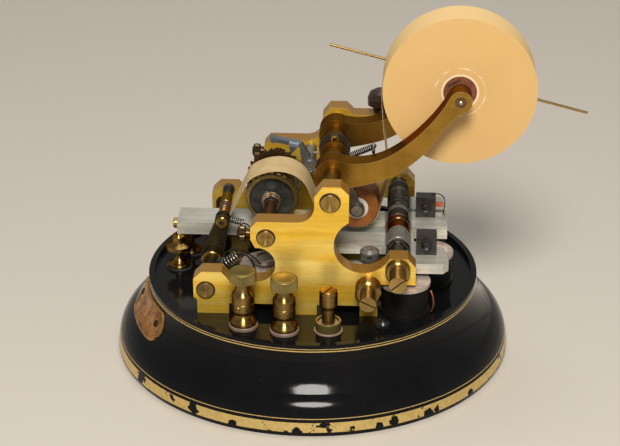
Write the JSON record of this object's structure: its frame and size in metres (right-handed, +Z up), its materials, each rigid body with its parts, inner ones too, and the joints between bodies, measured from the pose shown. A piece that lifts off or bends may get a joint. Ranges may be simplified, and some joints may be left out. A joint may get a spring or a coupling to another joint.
{
  "type": "stock ticker machine",
  "caption": "Clockwork-age printing telegraph on a round black base: brass plates, type wheels, magnet levers and a paper roll on a bracket.",
  "frame": {"origin": "centre of the round base's underside, on the surface that it stands on", "axes": "+Z up, +X to the machine's right as seen from the binding posts, -Y towards the binding posts"},
  "size_m": [0.2606, 0.22, 0.1929],
  "materials": {
    "japanned_iron": "gloss black japan",
    "plate_brass": "brushed and lacquered",
    "turned_brass": "turned, aged lacquer",
    "bracket_brass": "golden brown lacquer",
    "nameplate_brass": "worn and stained",
    "steel": "polished bar steel",
    "dark_steel": "blued steel",
    "iron": "soft iron",
    "ebonite": "hard rubber",
    "fibre": "brown vulcanised fibre",
    "spool": "pale fibre cheeks",
    "winding": "silk covered wire",
    "paper": "buff paper",
    "knob_brown": "dark reddish brown"
  },
  "bodies": {
    "frame": {"base": "japanned_iron", "base_cover": "japanned_iron", "base_nameplate": "nameplate_brass", "base_screws": "dark_steel", "binding_posts": "turned_brass", "bracket_set_screw": "turned_brass", "cross_shaft": "turned_brass", "deck_plug": "ebonite", "feed_roller_pin": "turned_brass", "front_plate": "plate_brass", "lug_spring": "dark_steel", "magnet_coils": "winding", "magnet_cores": "iron", "magnet_spools": "spool", "nameplate_screws": "turned_brass", "paper_tape": "paper", "plate_locknuts": "turned_brass", "plate_screws": "turned_brass", "plate_studs": "steel", "post_insulators": "spool", "post_nuts": "turned_brass", "rear_plate": "plate_brass", "reel_axle": "turned_brass", "reel_axle_fittings": "turned_brass", "reel_bracket": "bracket_brass", "retaining_rod": "turned_brass", "right_shaft": "steel", "right_shaft_collars": "turned_brass", "roller_hanger": "dark_steel", "spool_cheeks": "spool", "stop_pillar": "steel", "type_bearing_screws": "turned_brass"},
    "type_wheels": {"type_shaft": "dark_steel", "letter_wheel": "turned_brass", "figure_wheel": "turned_brass", "escapement_wheel": "dark_steel"},
    "paper_reel": {"roll_core": "knob_brown", "paper_roll": "paper"},
    "feed_roll": {"feed_roller": "fibre", "feed_roller_hub": "steel"},
    "print_arm": {"print_lever": "steel", "print_pad": "ebonite", "print_lever_block": "ebonite", "print_lever_screws": "turned_brass"},
    "type_arm": {"type_lever": "steel", "type_lever_block": "ebonite", "type_lever_screws": "steel"},
    "shift_arm": {"shift_lever": "steel"},
    "pawl": {"escapement_pawl": "steel"},
    "rocker": {"rock_shaft": "turned_brass", "rock_disc": "fibre", "tape_guide_arm": "turned_brass", "tape_guide_tube": "dark_steel"},
    "left_thumbscrew": {"left_post_thumbscrew": "turned_brass"},
    "right_thumbscrew": {"right_post_thumbscrew": "turned_brass"},
    "front_nut": {"front_terminal_nut": "turned_brass"},
    "rear_nut": {"rear_terminal_nut": "turned_brass"},
    "front_clamp": {"front_clamp_screw": "knob_brown"},
    "rear_clamp": {"rear_clamp_screw": "knob_brown"},
    "back_knob": {"rear_knob": "knob_brown"}
  },
  "joints": [
    {"name": "type_wheel_spin", "type": "hinge", "parent": "frame", "child": "type_wheels", "pos_m": [-0.0226, 0, 0.0866], "axis": [0, 1, 0], "continuous": true},
    {"name": "reel_spin", "type": "hinge", "parent": "frame", "child": "paper_reel", "pos_m": [0.079, 0.0081, 0.1514], "axis": [0, 1, 0], "continuous": true},
    {"name": "feed_roller_spin", "type": "hinge", "parent": "frame", "child": "feed_roll", "pos_m": [0.0245, 0.0081, 0.0825], "axis": [0, 1, 0], "continuous": true},
    {"name": "print_lever_rock", "type": "hinge", "parent": "frame", "child": "print_arm", "pos_m": [0.0475, 0.0134, 0.0693], "axis": [0, 1, 0], "range_deg": [0, 1.2]},
    {"name": "type_lever_rock", "type": "hinge", "parent": "frame", "child": "type_arm", "pos_m": [0.0475, -0.012, 0.0693], "axis": [0, 1, 0], "range_deg": [0, 1]},
    {"name": "shift_lever_rock", "type": "hinge", "parent": "frame", "child": "shift_arm", "pos_m": [0.0475, 0.039, 0.0693], "axis": [0, 1, 0], "range_deg": [0, 1.5]},
    {"name": "pawl_rock", "type": "hinge", "parent": "frame", "child": "pawl", "pos_m": [-0.0037, 0.0367, 0.091], "axis": [0, 1, 0], "range_deg": [0, 7]},
    {"name": "rock_shaft_rock", "type": "hinge", "parent": "frame", "child": "rocker", "pos_m": [-0.0552, 0, 0.055], "axis": [0, 1, 0], "range_deg": [-4, 0]},
    {"name": "left_thumbscrew_turn", "type": "hinge", "parent": "frame", "child": "left_thumbscrew", "pos_m": [-0.03398, -0.06641, 0.066], "axis": [0, 0, 1], "range_deg": [0, 720]},
    {"name": "right_thumbscrew_turn", "type": "hinge", "parent": "frame", "child": "right_thumbscrew", "pos_m": [-0.01192, -0.07121, 0.066], "axis": [0, 0, 1], "range_deg": [0, 720]},
    {"name": "front_terminal_nut_turn", "type": "hinge", "parent": "frame", "child": "front_nut", "pos_m": [-0.07553, 0.0033, 0.054], "axis": [0, 0, 1], "range_deg": [0, 720]},
    {"name": "rear_terminal_nut_turn", "type": "hinge", "parent": "frame", "child": "rear_nut", "pos_m": [-0.07101, 0.02185, 0.054], "axis": [0, 0, 1], "range_deg": [0, 720]},
    {"name": "front_clamp_turn", "type": "hinge", "parent": "frame", "child": "front_clamp", "pos_m": [-0.035, -0.047, 0.0866], "axis": [1, 0, 0], "range_deg": [-360, 0]},
    {"name": "rear_clamp_turn", "type": "hinge", "parent": "frame", "child": "rear_clamp", "pos_m": [-0.035, 0.0649, 0.0866], "axis": [1, 0, 0], "range_deg": [-360, 0]},
    {"name": "rear_knob_turn", "type": "hinge", "parent": "frame", "child": "back_knob", "pos_m": [0.0362, 0.0649, 0.119], "axis": [0, 0, 1], "range_deg": [0, 360]}
  ]
}
